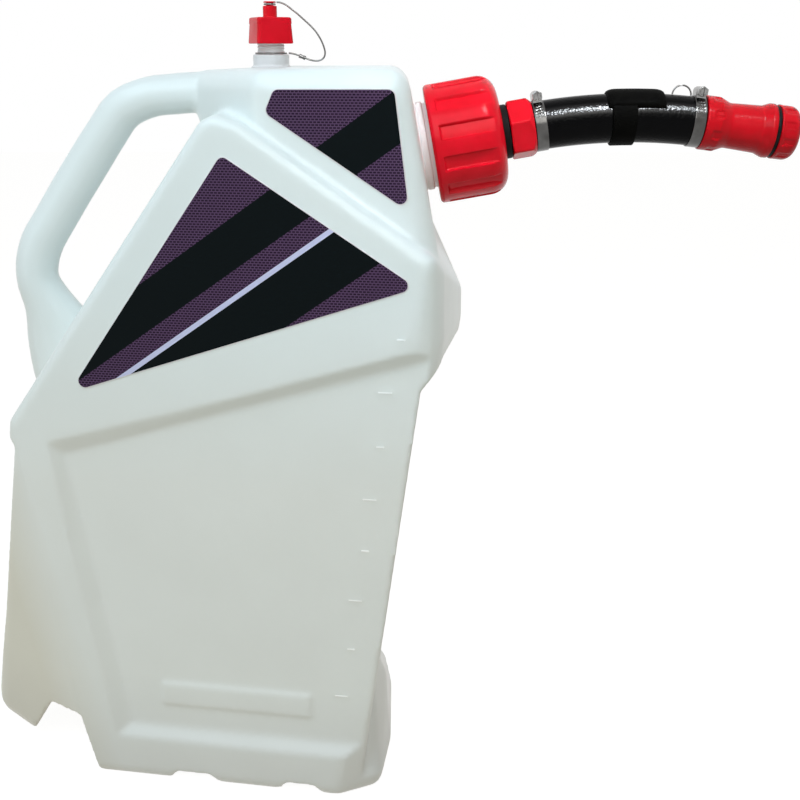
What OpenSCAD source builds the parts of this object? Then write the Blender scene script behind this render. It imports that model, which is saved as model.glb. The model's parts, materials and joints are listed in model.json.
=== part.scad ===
// Utility can with a screw cap, a hose spout and a vented top.
// +X points along the spout, +Z is up, and the origin is on the ground under the can's middle.

/* [Can] */
// Half width of the can at its middle, between the two side faces
can_half_w = 91; // [87:1:95]
// Angle of each side face in plan, wider towards the spout
side_angle = 10; // [8:0.5:11]
// Height of the can's top face
can_h = 548; // [542:1:556]
// Distance from the origin to the rear nose of the base
base_rear = 174; // [166:1:182]
// Distance from the origin to the front of the foot
base_front = 161; // [157:1:165]
// Distance from the origin to the rear corner of the shoulder
shoulder_rear = 123; // [119:1:127]
// Height of the rear corner of the shoulder
shoulder_rear_h = 292; // [286:1:298]
// Distance from the origin to the front edge of the shoulder
shoulder_front = 217; // [213:1:221]
// Drop from the can's top face to the shoulder's front corners, upper end
shoulder_front_drop = 139; // [134:1:144]
// Drop from the can's top face to the shoulder's front corners, lower end
shoulder_lip_drop = 179; // [174:1:184]
// Distance from the origin to the peak of the shoulder
peak_x = 54; // [49:1:59]
// Drop from the can's top face to the peak of the shoulder
peak_drop = 32; // [27:1:37]
// Wall thickness of the moulding
wall = 3; // [2.5:0.5:4]
// Rounding of the shoulder's edges
edge_r = 7; // [6:0.5:8]
// Rounding of the front corners
front_r = 22; // [20:1:24]
// Rounding of the upper body
upper_r = 16; // [14:1:18]
// How far the upper body's sides lie inside the shoulder's sides
upper_step = 11; // [9:1:13]

/* [Recess] */
// Depth of the recess in each side face
recess_depth = 8; // [6:0.5:9]
// Width of the slanted wall round the recess
recess_slope = 10; // [8:0.5:12]
// Height of the recess's lower edge above the ground
recess_low = 46; // [42:1:52]
// Reach of the core's front face at its top
core_front_top = 189; // [185:1:193]
// Reach of the core's front face at the ground
core_front_low = 137; // [133:1:141]
// Height of the bend in the toe's ramp
foot_h = 45; // [40:1:50]
// Height where the toe's ramp meets the core
foot_ramp_h = 80; // [74:1:88]
// Length of a long graduation tick
tick_l = 10.5; // [8:0.5:12]
// Spacing of the graduation ticks in height
tick_step = 40.5; // [40:0.5:41]
// How far a tick stands proud of the face
tick_proud = 0.8; // [0.5:0.1:1.2]
// How far the blank panel stands proud of the recess
panel_proud = 2.4; // [1.6:0.2:3.2]

/* [Handle] */
// Width of the handle bar across the can
handle_w = 34; // [30:1:38]
// Thickness of the handle's top bar
handle_t = 30; // [28:1:32]

/* [Neck and cap] */
// Distance from the origin to where the neck's axis leaves the front face
neck_x = 184; // [180:1:188]
// Drop from the can's top face to where the neck's axis leaves the front face
neck_drop = 58; // [54:1:62]
// Upward tilt of the neck and of the front face
neck_angle = 10; // [8:0.5:12]
// Outside diameter of the neck
neck_d = 63; // [60:1:66]
// Length of the neck from the front face to its rim
neck_len = 54; // [52:1:58]
// Wall of the neck
neck_wall = 4; // [3:0.5:5]
// Height of the neck's thread crests
thread_proud = 1.6; // [1.2:0.1:2]
// Spacing of the neck's thread crests
neck_pitch = 6; // [5:0.5:7]
// Outside diameter of the screw cap
cap_d = 88; // [84:1:92]
// Gap between the can's front face and the screw cap
cap_gap = 9; // [8.5:0.5:11]
// Thickness of the screw cap's end wall
cap_end = 5; // [4:0.5:6]
// Thickness of the neck gasket
gasket_t = 3; // [2:0.5:4]
// Number of finger grooves round the screw cap
cap_grooves = 12; // [10:1:14]
// Depth of a finger groove
groove_depth = 2.5; // [1.5:0.25:3]

/* [Hose fitting] */
// Diameter of the fitting's shank
shank_d = 26; // [24:0.5:28]
// Width across the flats of the fitting's hexagon
hex_af = 39.5; // [38:0.5:42]
// Length of the fitting's hexagon
hex_len = 18; // [14:1:22]
// Thickness of the sealing ring under the hexagon
seal_t = 6; // [4:0.5:7]
// Width across the flats of the lock nut
nut_af = 38; // [36:0.5:40]
// Thickness of the lock nut
nut_t = 7; // [5:0.5:9]
// Thickness of the washer under the lock nut
washer_t = 1.5; // [1:0.25:2.5]
// Bore through the fitting and the nozzle
flow_d = 19; // [16:0.5:20]

/* [Hose] */
// Inside diameter of the hose
hose_bore = 25.4; // [24.5:0.1:26.5]
// Outside diameter of the hose
hose_od = 36; // [34:0.5:38]
// Radius of the hose's bend
hose_bend_r = 425; // [380:5:470]
// Angle through which the hose bends down
hose_bend = 17; // [14:0.5:20]
// Length of each hose barb
barb_len = 18; // [14:1:20]
// Width of a clamp band
band_w = 8.5; // [7.5:0.5:9]
// Thickness of a clamp band
band_t = 0.8; // [0.6:0.1:1.2]
// Diameter of a clamp's worm screw
worm_d = 5; // [4.5:0.5:6]
// Length of the black clip along the hose
clip_len = 42; // [36:1:46]
// Thickness of the black clip's saddle on top of the hose
clip_h = 3.2; // [2.5:0.1:4]

/* [Nozzle] */
// Diameter of the nozzle's collar
collar_d = 40; // [38:0.5:43]
// Diameter of the nozzle's waist
waist_d = 33; // [32:0.5:35]
// Diameter of the nozzle behind its front ring
mouth_d = 35; // [35:0.5:38]
// Length of the nozzle from the hose's end to its rim
nozzle_len = 52.5; // [48:0.5:56]
// Diameter of the nozzle's spigot inside its cap
spigot_d = 28; // [26:0.5:30]
// Length of the spigot
spigot_len = 12; // [10:0.5:12.5]
// Thickness of the nozzle's sealing ring
ring_t = 3; // [2:0.25:3.5]
// Diameter of the nozzle cap
nozzle_cap_d = 40; // [38:0.5:42]
// Length of the nozzle cap
nozzle_cap_len = 16; // [15.5:0.5:20]

/* [Vent] */
// Distance from the origin to the vent's axis
vent_x = 74; // [71:1:78]
// Diameter of the vent boss
boss_d = 26.5; // [25:0.5:28]
// Height of the vent boss above the can's top face
boss_h = 9; // [8:0.5:10]
// Diameter of the vent stem
stem_d = 20; // [19:0.5:21]
// Height of the vent stem above its boss
stem_h = 19; // [18:0.5:21]
// Bore of the vent stem
vent_bore = 12; // [10:0.5:13]
// Side of the square vent cap at its foot
vent_cap_w = 27.5; // [27:0.5:30]
// Height of the vent cap without its nub
vent_cap_h = 18.5; // [17.5:0.5:20]
// Gap between the boss and the vent cap
vent_gap = 7.5; // [6.5:0.5:8]
// Thickness of the vent seal
vent_seal_t = 2.5; // [2:0.25:3]
// Diameter of the nub on the vent cap
nub_d = 10.3; // [9.5:0.1:11]
// Height of the nub on the vent cap
nub_h = 8; // [7:0.5:9]
// Diameter of the tether wire
wire_d = 1.25; // [1:0.05:1.5]

/* [Labels] */
// Thickness of a label
label_t = 0.5; // [0.3:0.1:0.8]
// Corner radius of a label
label_r = 5.5; // [4:0.5:7]

/* [Hidden] */

// Facets of true curves, and of hulled corners and swept bars
$fn = 64;
soft = 16;
eps = 0.01;
// Clearance of a running thread, of a free part and of a seated part
fit_gap = 0.08;
run_gap = 0.4;
seat_gap = 0.1;

// Colours
milk = [0.88, 0.91, 0.88];
red = [0.80, 0.05, 0.08];
black = [0.05, 0.05, 0.06];
steel = [0.75, 0.75, 0.74];
label_tone = [0.16, 0.13, 0.18];

// Heights that follow the can's top face
peak_h = can_h - peak_drop;
shoulder_front_h = can_h - shoulder_front_drop;
shoulder_lip_h = can_h - shoulder_lip_drop;
neck_h = can_h - neck_drop;

// Half width of the can at x, measured to the flat side face
function half_w(x) = can_half_w + x * tan(side_angle);
// Half width to the centres of corners with rounding r
function inner_w(x, r) = half_w(x) - r / cos(side_angle);
// Front face of the upper body at height z, on the plane that the neck stands square to
function front_x(z) = neck_x + (neck_h - z) * tan(neck_angle);
// Front of the core at height z
function core_x(z) = core_front_low + (core_front_top - core_front_low) * z / shoulder_lip_h;
// Upper crease of the recess at x
crease_slope = 0.31;
crease_drop = 73;
crease_h = shoulder_lip_h - crease_drop;
function crease_z(x) = crease_h + crease_slope * x;

// A point on the left side face at x and z, h above the face
function side_point(x, z, h) = [x - h * sin(side_angle), -half_w(x) - h * cos(side_angle), z];

// A point on a smooth curve through four points
function smooth_point(a, b, c, d, t) =
    0.5 * (2 * b + (c - a) * t + (2 * a - 5 * b + 4 * c - d) * t * t + (3 * b - a - 3 * c + d) * t * t * t);
function smooth(pts, steps) = [
    for (i = [0 : len(pts) - 2]) for (k = [0 : steps - 1])
        smooth_point(pts[max(i - 1, 0)], pts[i], pts[i + 1], pts[min(i + 2, len(pts) - 1)], k / steps),
    pts[len(pts) - 1]
];
function unit(v) = v / norm(v);
function along(pts, i) = unit(pts[min(i + 1, len(pts) - 1)] - pts[max(i - 1, 0)]);

// A bar swept along points, a thick in the plane of the sweep and b thick across it
module swept(pts, a, b, sides) {
    n = len(pts);
    rings = [
        for (i = [0 : n - 1])
            let (t = along(pts, i), v = unit([0, 1, 0] - t * t[1]), u = cross(v, t))
            for (k = [0 : sides - 1])
                pts[i] + u * a[i] * cos(360 * k / sides) + v * b[i] * sin(360 * k / sides)
    ];
    skin = [
        for (i = [0 : n - 2]) for (k = [0 : sides - 1])
            let (p = i * sides + k, q = i * sides + (k + 1) % sides)
            each [[p, p + sides, q], [q, p + sides, q + sides]]
    ];
    first = [for (k = [1 : sides - 2]) [0, k, k + 1]];
    last = [for (k = [1 : sides - 2]) [(n - 1) * sides, (n - 1) * sides + k + 1, (n - 1) * sides + k]];
    polyhedron(concat(rings), concat(skin, first, last), convexity = 6);
}

module both_sides() {
    children();
    mirror([0, 1, 0]) children();
}

// A round corner that touches the ground plane and the side planes at r
module ball(p, r) {
    translate(p) rotate([0, 0, -side_angle]) sphere(r / cos(180 / soft), $fn = soft);
}

// Frame of the can: base, rear nose and shoulder wedge, drawn in by inset
foot_r = 12;
foot_sink = 1;
foot_rear_x = -76;
foot_side_x = 120;
foot_corners = [[-6, 89], [0, 42]];
foot_z = foot_r - foot_sink;
toe_x = base_front - foot_r;
toe_lean = 3.5;
nose_r = 22;
nose_lift = 10;
peak_corners = [[-15.6, -7.8], [-10, -5], [3.9, -8.2]];
ridge_r = 10;
ridge_end = [6.7, 10];
shoulder_side_x = 178;
prow_low = shoulder_lip_h - 3;
prow_high = shoulder_lip_h + 10;
module toe_corners(inset) {
    ball([foot_side_x, -inner_w(foot_side_x, foot_r), foot_z], foot_r - inset);
    for (c = foot_corners)
        ball([toe_x + c[0], -c[1], foot_z], foot_r - inset);
}

module frame_form(inset) {
    rear_x = edge_r - shoulder_rear;
    ridge_x = shoulder_side_x + ridge_end[0];
    hull() {
        both_sides() {
            ball([foot_rear_x, -inner_w(foot_rear_x, foot_r), foot_z], foot_r - inset);
            toe_corners(inset);
            ball([rear_x, -inner_w(rear_x, edge_r), shoulder_rear_h], edge_r - inset);
            for (c = peak_corners)
                ball([peak_x + c[0], -inner_w(peak_x + c[0], edge_r), peak_h + c[1]], edge_r - inset);
            ball([ridge_x, -inner_w(ridge_x, ridge_r), shoulder_front_h + ridge_end[1]], ridge_r - inset);
            for (z = [shoulder_front_h, shoulder_lip_h])
                ball([shoulder_side_x, -inner_w(shoulder_side_x, front_r), z], front_r - inset);
        }
        for (z = [prow_low, prow_high])
            ball([shoulder_front - front_r, 0, z], front_r - inset);
        ball([nose_r - base_rear, 0, nose_r + nose_lift], nose_r - inset);
    }
}

// Toe of the foot, a ramp that comes forward from the core
module toe_form() {
    hull() {
        both_sides() toe_corners(0);
        ball([toe_x - toe_lean, 0, foot_h], foot_r);
        ball([core_x(foot_ramp_h) - foot_r, 0, foot_ramp_h - foot_r], foot_r);
    }
}

// Core of the can, which shows in the recess, drawn in by inset
core_rear = -40;
module core_form(inset) {
    hull() both_sides() {
        for (z = [front_r, shoulder_lip_h])
            let (x = core_x(z) - front_r)
            ball([x, -inner_w(x, front_r) + recess_depth, z], front_r - inset);
        for (z = [front_r, shoulder_rear_h])
            ball([core_rear, -inner_w(core_rear, front_r) + recess_depth, z], front_r - inset);
    }
}

// Upper body with the root of the handle, drawn in by inset
upper_rear = 80;
upper_low = shoulder_front_h + 6;
handle_root = 28;
root_drop = 2;
module upper_form(inset) {
    top = can_h - upper_r;
    hull() {
        both_sides() {
            for (z = [top, upper_low])
                let (x = front_x(z) - upper_r / cos(neck_angle))
                ball([x, -inner_w(x, upper_r) + upper_step, z], upper_r - inset);
            ball([upper_rear, -inner_w(upper_rear, upper_r) + upper_step, top], upper_r - inset);
            ball([upper_rear, -inner_w(upper_rear, upper_r) + upper_step, upper_low], upper_r - inset);
        }
        ball([handle_root, 0, can_h - root_drop - handle_t / 2], handle_t / 2 - inset);
    }
}

// Handle bar: x of its middle line, drop below the top run's line and growth of its half thickness
bar = handle_t / 2;
bar_h = can_h - bar;
handle_points = [
    [60, 1.5, 0], [20, 3, 0], [0, 4.4, 0], [-17, 6.5, 0], [-37, 15, 0.5], [-50.5, 31.7, 0.6],
    [-65.2, 52.6, 1], [-80.6, 75, 1], [-95.7, 98, 1], [-106, 114, 1.3], [-111.5, 130, 1.2],
    [-112, 145, 1.2], [-106, 161, 4], [-99, 181, 11], [-93, 213, 14.5], [-86, 242, 14.5]
];
handle_line = [for (p = handle_points) [p[0], bar_h - p[1], bar + p[2]]];
module handle_form(inset) {
    line = smooth(handle_line, 3);
    pts = [for (p = line) [p[0], 0, p[1]]];
    swept(pts, [for (p = line) p[2] - inset], [for (p = line) handle_w / 2 - inset], soft);
}

// Recess cut into the left side face, with slanted walls, grown by the wall for the cavity
outward = 12;
cut_reach = 60;
recess_end = shoulder_front + 43;
recess_rear_low = -46;
recess_rear_top = 39 - shoulder_rear;
recess_outline = [
    [recess_rear_low, recess_low], [recess_end, recess_low], [recess_end, crease_z(recess_end)],
    [recess_rear_top, crease_z(recess_rear_top)]
];
recess_dirs = [[-1, -0.9], [0, -1], [0, 1], [-1, 1]];
module side_recess(grow) {
    k = recess_slope / recess_depth;
    levels = [-recess_depth - grow, outward];
    spread = [for (h = levels) k * (h + recess_depth) + grow * sqrt(1 + k * k)];
    n = len(recess_outline);
    pts = [
        for (j = [0, 1]) for (i = [0 : n - 1])
            let (p = recess_outline[i] + recess_dirs[i] * spread[j])
            side_point(p[0], p[1], levels[j])
    ];
    walls = [for (i = [0 : n - 1]) [i, n + i, n + (i + 1) % n, (i + 1) % n]];
    floor_face = [for (i = [0 : n - 1]) i];
    mouth_face = [for (i = [n - 1 : -1 : 0]) n + i];
    polyhedron(pts, concat(walls, [floor_face, mouth_face]), convexity = 4);
}

// Recess across the front, from the foot up to the lip of the shoulder
foot_cut = 14;
lip_low = shoulder_lip_h - 38;
lip_x = 199;
lip_h = shoulder_lip_h - 20;
front_reach = shoulder_front + cut_reach;
module front_recess(grow) {
    side = 3 * half_w(shoulder_front);
    rotate([90, 0, 0]) linear_extrude(side, center = true) polygon([
        [core_x(foot_cut) - grow, foot_cut - grow], [front_reach, foot_cut - grow],
        [front_reach, lip_h + grow], [lip_x - grow / 2, lip_h + grow],
        [core_x(lip_low) - grow, lip_low + grow / 2]
    ]);
}

// Shallow recess across the rear face, from under the shoulder's corners down to the nose
rear_step = 6;
rear_fade = 0.7;
rear_reach = base_rear + cut_reach;
rear_top_h = shoulder_rear_h - 11;
rear_mid_h = 120;
rear_low_h = nose_r + nose_lift + 8;
function rear_x(z) = -shoulder_rear - (shoulder_rear_h - z) * (base_rear - shoulder_rear) /
    (shoulder_rear_h - nose_r - nose_lift);
module rear_recess(grow) {
    side = 3 * half_w(0);
    rotate([90, 0, 0]) linear_extrude(side, center = true) polygon([
        [-rear_reach, rear_top_h + grow], [rear_x(rear_top_h) + grow, rear_top_h + grow],
        [rear_x(rear_top_h - rear_step) + rear_step + grow, rear_top_h - rear_step],
        [rear_x(rear_mid_h) + rear_fade * rear_step + grow, rear_mid_h],
        [rear_x(rear_low_h) + grow, rear_low_h], [-rear_reach, rear_low_h]
    ]);
}

// Grooves in the underside: rear foot, rear top, front top, front foot, height and inner end of each
underside = [[-146, -114, -86, -73, 52, -1], [-16, -8, 19, 27, 9, 40], [72, 80, 102, 110, 9, 40]];
module underside_grooves(grow) {
    side = 2 * can_half_w;
    both_sides() for (g = underside)
        rotate([90, 0, 0]) translate([0, 0, g[5] - grow]) linear_extrude(side) polygon([
            [g[0] - grow, -1], [g[3] + grow, -1], [g[2] + grow, g[4] + grow], [g[1] - grow, g[4] + grow]
        ]);
}

// Depth of the left side at x and z: zero above the recess, and the recess's depth below its slanted wall
function side_depth(x, z) = recess_depth * min(1, max(0, 1 - (z - crease_z(x)) / recess_slope));

// Graduation ticks, long and short in turn, the top one above the recess, and a plain raised panel
tick_low = 85.5;
tick_inset = 21;
top_shift = 5;
short_tick = 0.6;
tick_w = 1.6;
// As many ticks as fit below the shoulder's front corners
tick_count = floor((shoulder_lip_h + tick_w - tick_low) / tick_step) + 1;
tick_root = 1.2;
panel_low = [-18, 66];
panel_size = [118, 18];
module side_marks() {
    for (i = [0 : tick_count - 1]) {
        top = i == tick_count - 1;
        z = tick_low + i * tick_step;
        x = core_x(z) - tick_inset + (top ? top_shift : 0);
        l = i % 2 == 0 ? tick_l : tick_l * short_tick;
        translate(side_point(x, z, -side_depth(x, z))) rotate([0, 0, -side_angle])
            translate([-l, -tick_proud, 0]) cube([l, tick_proud + tick_root, tick_w]);
    }
    translate(side_point(panel_low[0], panel_low[1], -recess_depth)) rotate([0, 0, -side_angle])
        translate([0, -panel_proud, 0]) cube([panel_size[0], panel_proud + tick_root, panel_size[1]]);
}

// The moulded can without its neck and vent, solid, drawn in by inset
ground = 800;
module can_form(inset) {
    difference() {
        union() {
            difference() {
                frame_form(inset);
                both_sides() side_recess(inset);
                front_recess(inset);
                rear_recess(inset);
            }
            core_form(inset);
            upper_form(inset);
            handle_form(inset);
            if (inset == 0) {
                toe_form();
                both_sides() side_marks();
            }
        }
        underside_grooves(inset);
        translate([-ground / 2, -ground / 2, inset - ground]) cube(ground);
    }
}

// The hollow moulding, open where the neck and the vent stand on it
pilot = 2;
module can_skin() {
    resize([0, 0, 0]) difference() {
        can_form(0);
        can_form(wall);
        on_neck() cylinder(h = 6 * neck_root, d = neck_bore - 2 * pilot, center = true, $fn = soft);
        on_vent() cylinder(h = 6 * wall, d = vent_bore - 2 * pilot, center = true, $fn = soft);
    }
}

// Places a part on the neck's axis, z = 0 on the front face and z outward
module on_neck() {
    translate([neck_x, 0, neck_h]) rotate([0, 90 - neck_angle, 0]) children();
}

// Places a part at a length along the bent hose, measured from the fitting
module on_hose(length) {
    turn = length * hose_deg;
    on_neck() translate([hose_bend_r * (1 - cos(turn)), 0, hose_s + hose_bend_r * sin(turn)])
        rotate([0, turn, 0]) children();
}

// Places a part on the nozzle's axis, z = 0 at the hose's end
module on_nozzle() {
    on_hose(hose_len) children();
}

// Places a part on the vent's axis, z = 0 on the can's top face
module on_vent() {
    translate([vent_x, 0, can_h]) children();
}

// Stations along the neck's axis
cap_in = neck_len + gasket_t;
cap_out = cap_in + cap_end;
hex_s = cap_out + seal_t;
hose_s = hex_s + hex_len;
hose_deg = 180 / PI / hose_bend_r;
hose_len = hose_bend / hose_deg;
neck_bore = neck_d - 2 * neck_wall;
crest_d = neck_d + 2 * thread_proud;

// Can with its neck, whose thread is stood in for by round crests, and its vent stem
neck_root = 8;
bead_s = 1.5;
bead_w = 4.5;
bead_proud = 1.2;
crest_w = 2.4;
crests = 4;
first_crest = 22;
module can_shell() {
    color(milk) difference() {
        union() {
            can_skin();
            on_neck() {
                translate([0, 0, -neck_root]) cylinder(h = neck_root + neck_len, d = neck_d);
                translate([0, 0, bead_s]) cylinder(h = bead_w, d = neck_d + 2 * bead_proud);
                for (i = [0 : crests - 1])
                    translate([0, 0, first_crest + i * neck_pitch]) cylinder(h = crest_w, d = crest_d);
            }
            on_vent() {
                translate([0, 0, -wall]) cylinder(h = wall + boss_h, d = boss_d);
                cylinder(h = boss_h + stem_h, d = stem_d);
            }
        }
        on_neck() cylinder(h = 3 * neck_len, d = neck_bore, center = true);
        on_vent() cylinder(h = 3 * (boss_h + stem_h), d = vent_bore, center = true);
    }
}

// Labels on the left side: corners in x and height, inside the shoulder's and the upper body's edges,
// the small label's by their drops from the can's top face
large_corners = [
    [peak_x - 5.7, peak_h - 22.7], [shoulder_side_x + 4, shoulder_front_h - 3],
    [49 - shoulder_rear, shoulder_rear_h + 28]
];
small_drops = [[82.5, 12.5], [164, 12], [174, 93.5], [75.5, 28.5]];
small_corners = [for (p = small_drops) [p[0], can_h - p[1]]];

// A plate with round corners through its corner points
module plate_2d(corners) {
    flat = [for (p = corners) [p[0] / cos(side_angle), p[1]]];
    offset(r = label_r, $fn = soft) offset(delta = -label_r) polygon(flat);
}

module on_side(depth) {
    translate([0, -half_w(0), 0]) rotate([0, 0, -side_angle]) translate([0, depth, 0]) rotate([90, 0, 0])
        linear_extrude(label_t) children();
}

module large_label_left() {
    color(label_tone) on_side(0) plate_2d(large_corners);
}

module large_label_right() {
    color(label_tone) mirror([0, 1, 0]) on_side(0) plate_2d(large_corners);
}

module small_label_left() {
    color(label_tone) on_side(upper_step * cos(side_angle)) plate_2d(small_corners);
}

module small_label_right() {
    color(label_tone) mirror([0, 1, 0]) on_side(upper_step * cos(side_angle)) plate_2d(small_corners);
}

module neck_gasket() {
    color(black) on_neck() translate([0, 0, neck_len]) difference() {
        cylinder(h = gasket_t, d = neck_d);
        translate([0, 0, -1]) cylinder(h = gasket_t + 2, d = neck_bore);
    }
}

// Screw cap, a cup over the neck with a round front edge
cap_front_r = 14;
cap_back_r = 3;
groove_margin = 7;
groove_share = 0.46;
groove_phase = 0.77;
module screw_cap() {
    r = cap_d / 2;
    bore = crest_d / 2 + fit_gap;
    groove_w = PI * cap_d / cap_grooves * groove_share;
    cap_l = cap_out - cap_gap;
    color(red) on_neck() difference() {
        rotate_extrude() difference() {
            union() {
                translate([0, cap_gap + cap_back_r]) square([r, cap_l - cap_back_r - cap_front_r]);
                translate([0, cap_gap]) square([r - cap_back_r, cap_l - cap_front_r]);
                translate([0, cap_gap]) square([r - cap_front_r, cap_l]);
                translate([r - cap_back_r, cap_gap + cap_back_r]) circle(cap_back_r);
                intersection() {
                    translate([r - cap_front_r, cap_out - cap_front_r]) circle(cap_front_r);
                    translate([0, cap_out - cap_front_r]) square([r, cap_front_r]);
                }
            }
            translate([-eps, cap_gap - 1]) square([bore + eps, cap_in - cap_gap + 1]);
        }
        translate([0, 0, cap_in - 1]) cylinder(h = cap_end + 2, d = shank_d + 2 * seat_gap);
        for (i = [0 : cap_grooves - 1])
            rotate([0, 0, 360 * (i + groove_phase) / cap_grooves])
                translate([r - groove_depth, -groove_w / 2, cap_gap + groove_margin])
                    cube([2 * groove_depth, groove_w, cap_l - groove_margin - cap_front_r / 2]);
    }
}

seal_d = 40;
module fitting_seal() {
    color(black) on_neck() translate([0, 0, cap_out]) difference() {
        cylinder(h = seal_t, d = seal_d);
        translate([0, 0, -1]) cylinder(h = seal_t + 2, d = shank_d + 2 * seat_gap);
    }
}

// Regular hexagon prism by its width across the flats
module hex_prism(af, h) {
    cylinder(h = h, d = af / cos(30), $fn = 6);
}

// Ridges of a hose barb that stands on z = 0
barb_d = hose_bore - 4 * seat_gap;
barb_root = barb_d - 2.4;
barb_rings = 3;
module barb() {
    step = barb_len / barb_rings;
    for (i = [0 : barb_rings - 1])
        translate([0, 0, i * step]) cylinder(h = step, d1 = barb_d, d2 = barb_root);
}

hex_turn = 13;
hex_end_d = hex_af - 1;
shank_end = 1;
module hose_fitting() {
    shank_s = cap_in - washer_t - nut_t - shank_end;
    color(red) on_neck() difference() {
        union() {
            translate([0, 0, shank_s]) cylinder(h = hex_s - shank_s + 1, d = shank_d);
            translate([0, 0, hex_s]) rotate([0, 0, hex_turn]) intersection() {
                hex_prism(hex_af, hex_len);
                cylinder(h = hex_len, d1 = hex_end_d + 2 * hex_len, d2 = hex_end_d);
            }
            translate([0, 0, hex_s]) cylinder(h = hex_len + barb_len / 2, d = barb_root);
            translate([0, 0, hose_s]) barb();
        }
        cylinder(h = hose_s + barb_len + 1, d = flow_d);
    }
}

module fitting_washer() {
    color(steel) on_neck() translate([0, 0, cap_in - washer_t]) difference() {
        cylinder(h = washer_t, d = nut_af + 6);
        translate([0, 0, -1]) cylinder(h = washer_t + 2, d = shank_d + 2 * seat_gap);
    }
}

module fitting_locknut() {
    color(steel) on_neck() translate([0, 0, cap_in - washer_t - nut_t]) difference() {
        hex_prism(nut_af, nut_t);
        translate([0, 0, -1]) cylinder(h = nut_t + 2, d = shank_d + 2 * seat_gap);
    }
}

// Turns a profile along the bent hose, from one length to another
module bend_sweep(from, to) {
    on_neck() translate([hose_bend_r, 0, hose_s]) rotate([90, 0, 180]) rotate([0, 0, from * hose_deg])
        rotate_extrude(angle = (to - from) * hose_deg) translate([hose_bend_r, 0]) children();
}

module hose() {
    color(black) bend_sweep(0, hose_len) difference() {
        circle(d = hose_od);
        circle(d = hose_bore);
    }
}

// Worm clamp round the hose, with its band about z = 0 and its screw on top
band_r = hose_od / 2 + seat_gap;
worm_gap = 0.6;
worm_x = band_r + band_t + worm_d / 2 + worm_gap;
house_l = 15;
house_wall = 1;
house_w = worm_d + 2 * house_wall + 2 * fit_gap;
head_af = 7;
head_l = 4.5;
tip_l = 1;
slot_w = 1;
slot_depth = 1.4;
module clamp_band() {
    difference() {
        cylinder(h = band_w, r = band_r + band_t, center = true);
        cylinder(h = band_w + 2, r = band_r, center = true);
    }
}

module clamp_housing() {
    difference() {
        union() {
            translate([-worm_x, 0, 0]) rotate([90, 0, 0]) cylinder(h = house_l, d = house_w, center = true);
            translate([-worm_x, -house_l / 2, -house_w / 2]) cube([worm_x - band_r + 1, house_l, house_w]);
        }
        translate([-worm_x, 0, 0]) rotate([90, 0, 0])
            cylinder(h = house_l + 2, d = worm_d + 2 * fit_gap, center = true);
        cylinder(h = band_w + 2, r = band_r + band_t + seat_gap / 2, center = true);
    }
}

module clamp_screw() {
    translate([-worm_x, house_l / 2, 0]) rotate([90, 0, 0]) difference() {
        union() {
            translate([0, 0, -tip_l]) cylinder(h = house_l + tip_l + seat_gap, d = worm_d);
            translate([0, 0, house_l + seat_gap]) hex_prism(head_af, head_l);
        }
        translate([-head_af, -slot_w / 2, house_l + head_l - slot_depth])
            cube([2 * head_af, slot_w, 2 * slot_depth]);
    }
}

clamp_gap = 0.6;
rear_clamp_at = clamp_gap + band_w / 2;
front_clamp_at = hose_len - clamp_gap - band_w / 2;
module rear_clamp_band() {
    color(steel) on_hose(rear_clamp_at) clamp_band();
}

module rear_clamp_housing() {
    color(steel) on_hose(rear_clamp_at) clamp_housing();
}

module rear_clamp_screw() {
    color(steel) on_hose(rear_clamp_at) clamp_screw();
}

module front_clamp_band() {
    color(steel) on_hose(front_clamp_at) clamp_band();
}

module front_clamp_housing() {
    color(steel) on_hose(front_clamp_at) clamp_housing();
}

module front_clamp_screw() {
    color(steel) on_hose(front_clamp_at) clamp_screw();
}

// Wire eye that stands on the hose behind the front clamp
eye_r = 7;
eye_at = front_clamp_at - band_w / 2 - eye_r - wire_d;
module lanyard_eye() {
    color(steel) on_hose(eye_at) translate([-hose_od / 2 - seat_gap, 0, 0]) rotate([90, -90, 0])
        rotate_extrude(angle = 180) translate([eye_r, 0]) circle(d = wire_d);
}

// Black clip: a saddle on top of the hose and a narrower strap round it, behind the wire eye
strap_t = 2;
strap_len = 18;
strap_start = 3;
saddle_low = 9.5;
clip_gap = 5.125;
clip_at = eye_at - eye_r - wire_d / 2 - clip_gap - clip_len;
module hose_clip() {
    inner = hose_od / 2 + seat_gap;
    color(black) {
        bend_sweep(clip_at, clip_at + clip_len) difference() {
            circle(inner + clip_h);
            circle(inner);
            translate([-2 * inner, -2 * inner]) square([2 * inner + saddle_low, 4 * inner]);
        }
        bend_sweep(clip_at + strap_start, clip_at + strap_start + strap_len) difference() {
            circle(inner + strap_t);
            circle(inner);
        }
    }
}

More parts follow.
